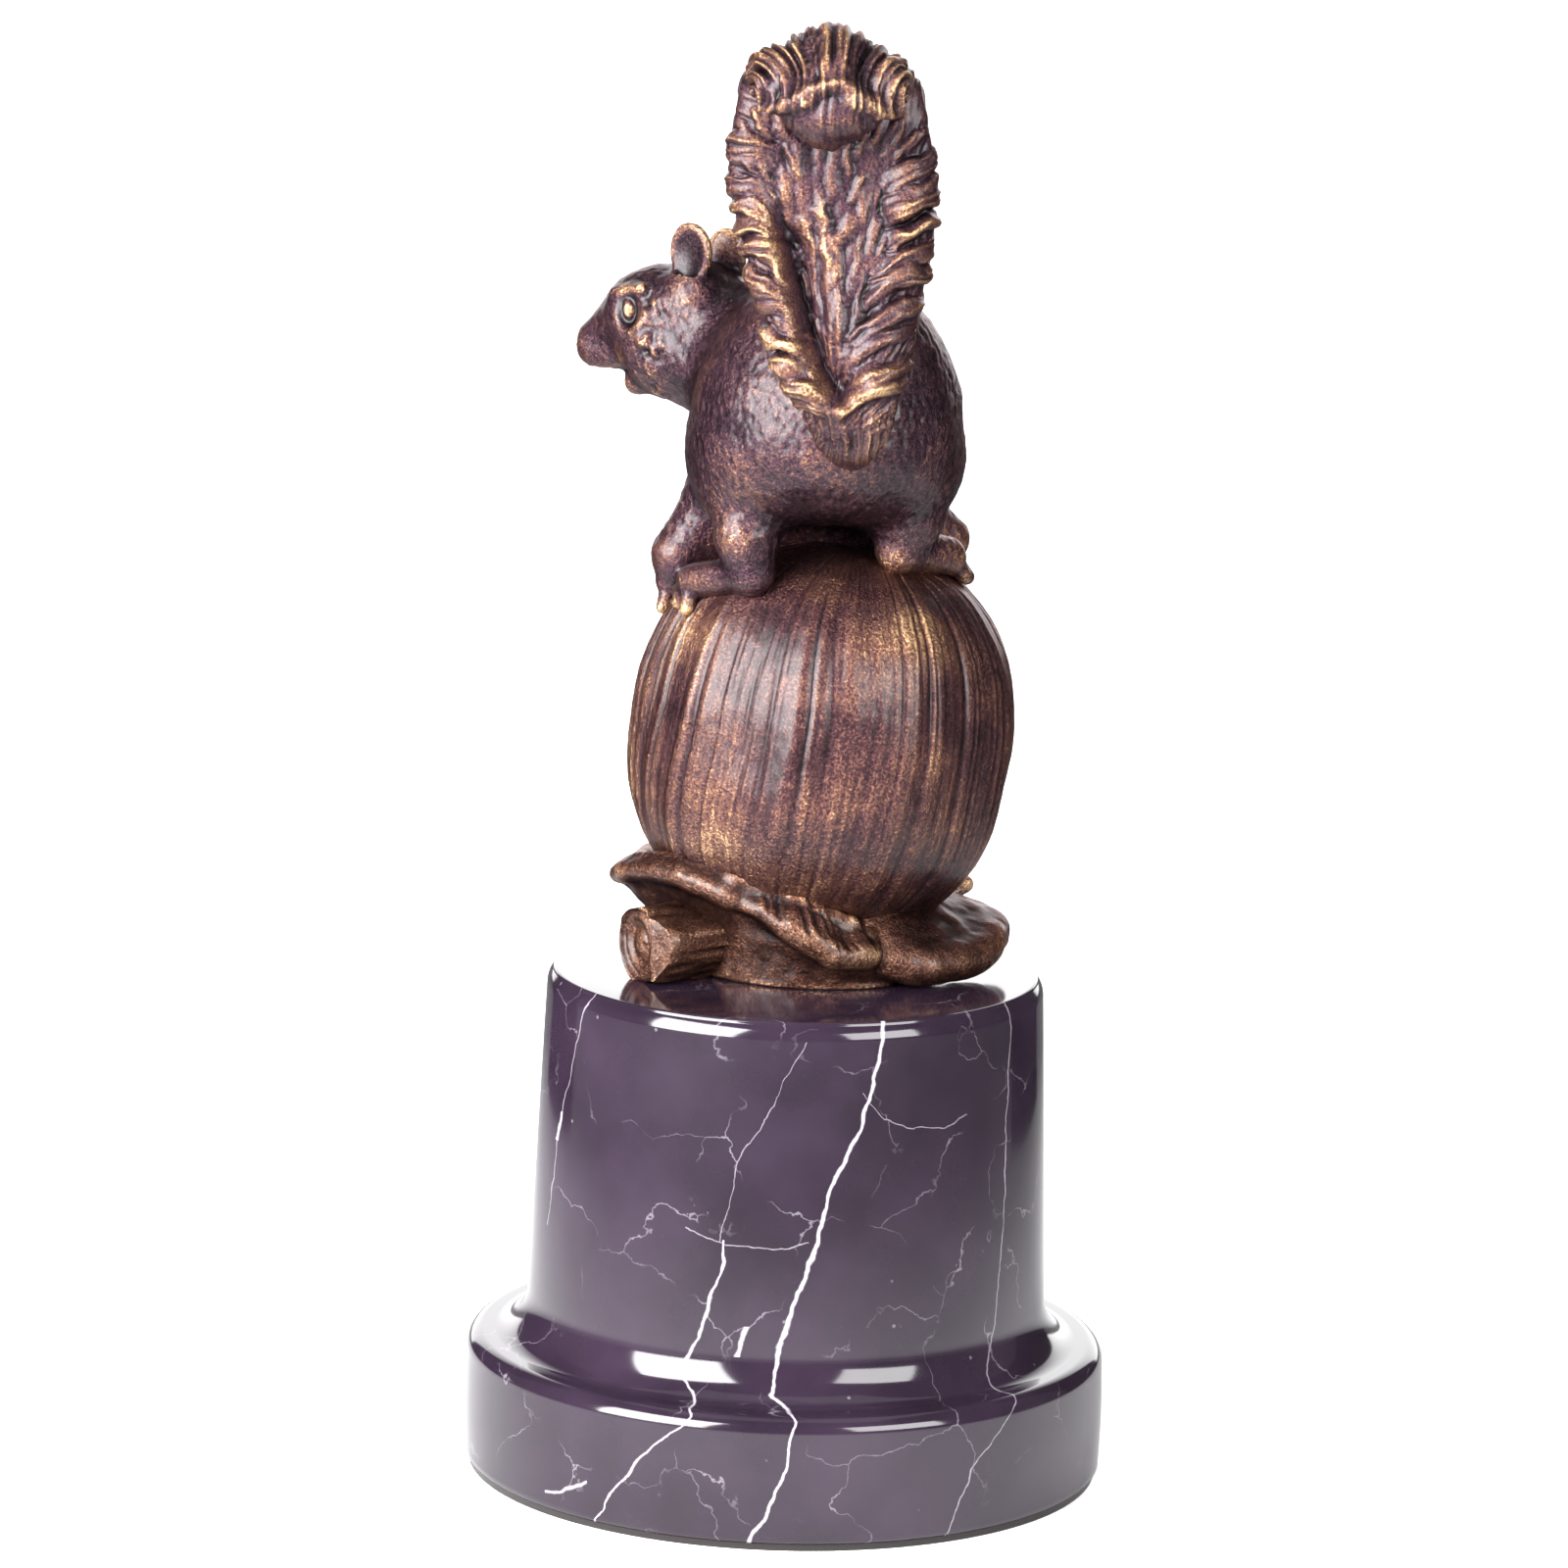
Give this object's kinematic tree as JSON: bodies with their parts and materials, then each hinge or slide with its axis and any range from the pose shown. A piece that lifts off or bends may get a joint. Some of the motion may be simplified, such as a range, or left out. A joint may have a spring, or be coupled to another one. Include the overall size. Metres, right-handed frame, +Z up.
{
  "type": "squirrel figurine",
  "caption": "Cast bronze squirrel crouching on a ribbed hazelnut with husk leaves and a cut twig, bolted to a turned black marble socle with a felt base; free-standing desk ornament.",
  "frame": {"origin": "middle of the felt's underside, on the socle's axis", "axes": "+Z up the socle's axis; the squirrel's back and the picture's viewer are on the -Y side, and its head is turned to -X"},
  "size_m": [0.097, 0.097, 0.2201],
  "materials": {
    "felt": "pressed wool felt",
    "marble": "polished, white veins",
    "steel": "zinc plated",
    "brass": "as turned",
    "bronze": "cast, brown patina rubbed gold on the ridges, waxed"
  },
  "bodies": {
    "root": {"anchor_bush": "brass", "ear_left": "bronze", "ear_right": "bronze", "felt_pad": "felt", "fixing_nut": "steel", "fixing_stud": "steel", "fixing_washer": "steel", "husk_cup": "bronze", "husk_leaf_back": "bronze", "husk_leaf_far": "bronze", "husk_leaf_front": "bronze", "husk_leaf_left": "bronze", "husk_leaf_right": "bronze", "leg_fore_left": "bronze", "leg_fore_right": "bronze", "leg_hind_left": "bronze", "leg_hind_right": "bronze", "marble_socle": "marble", "neck_dowel": "brass", "nut_shell": "bronze", "paw_pins": "brass", "squirrel_body": "bronze", "squirrel_head": "bronze", "tail_curl": "bronze", "tail_dowel": "brass", "tail_plume": "bronze", "twig_stub": "bronze"}
  },
  "joints": []
}
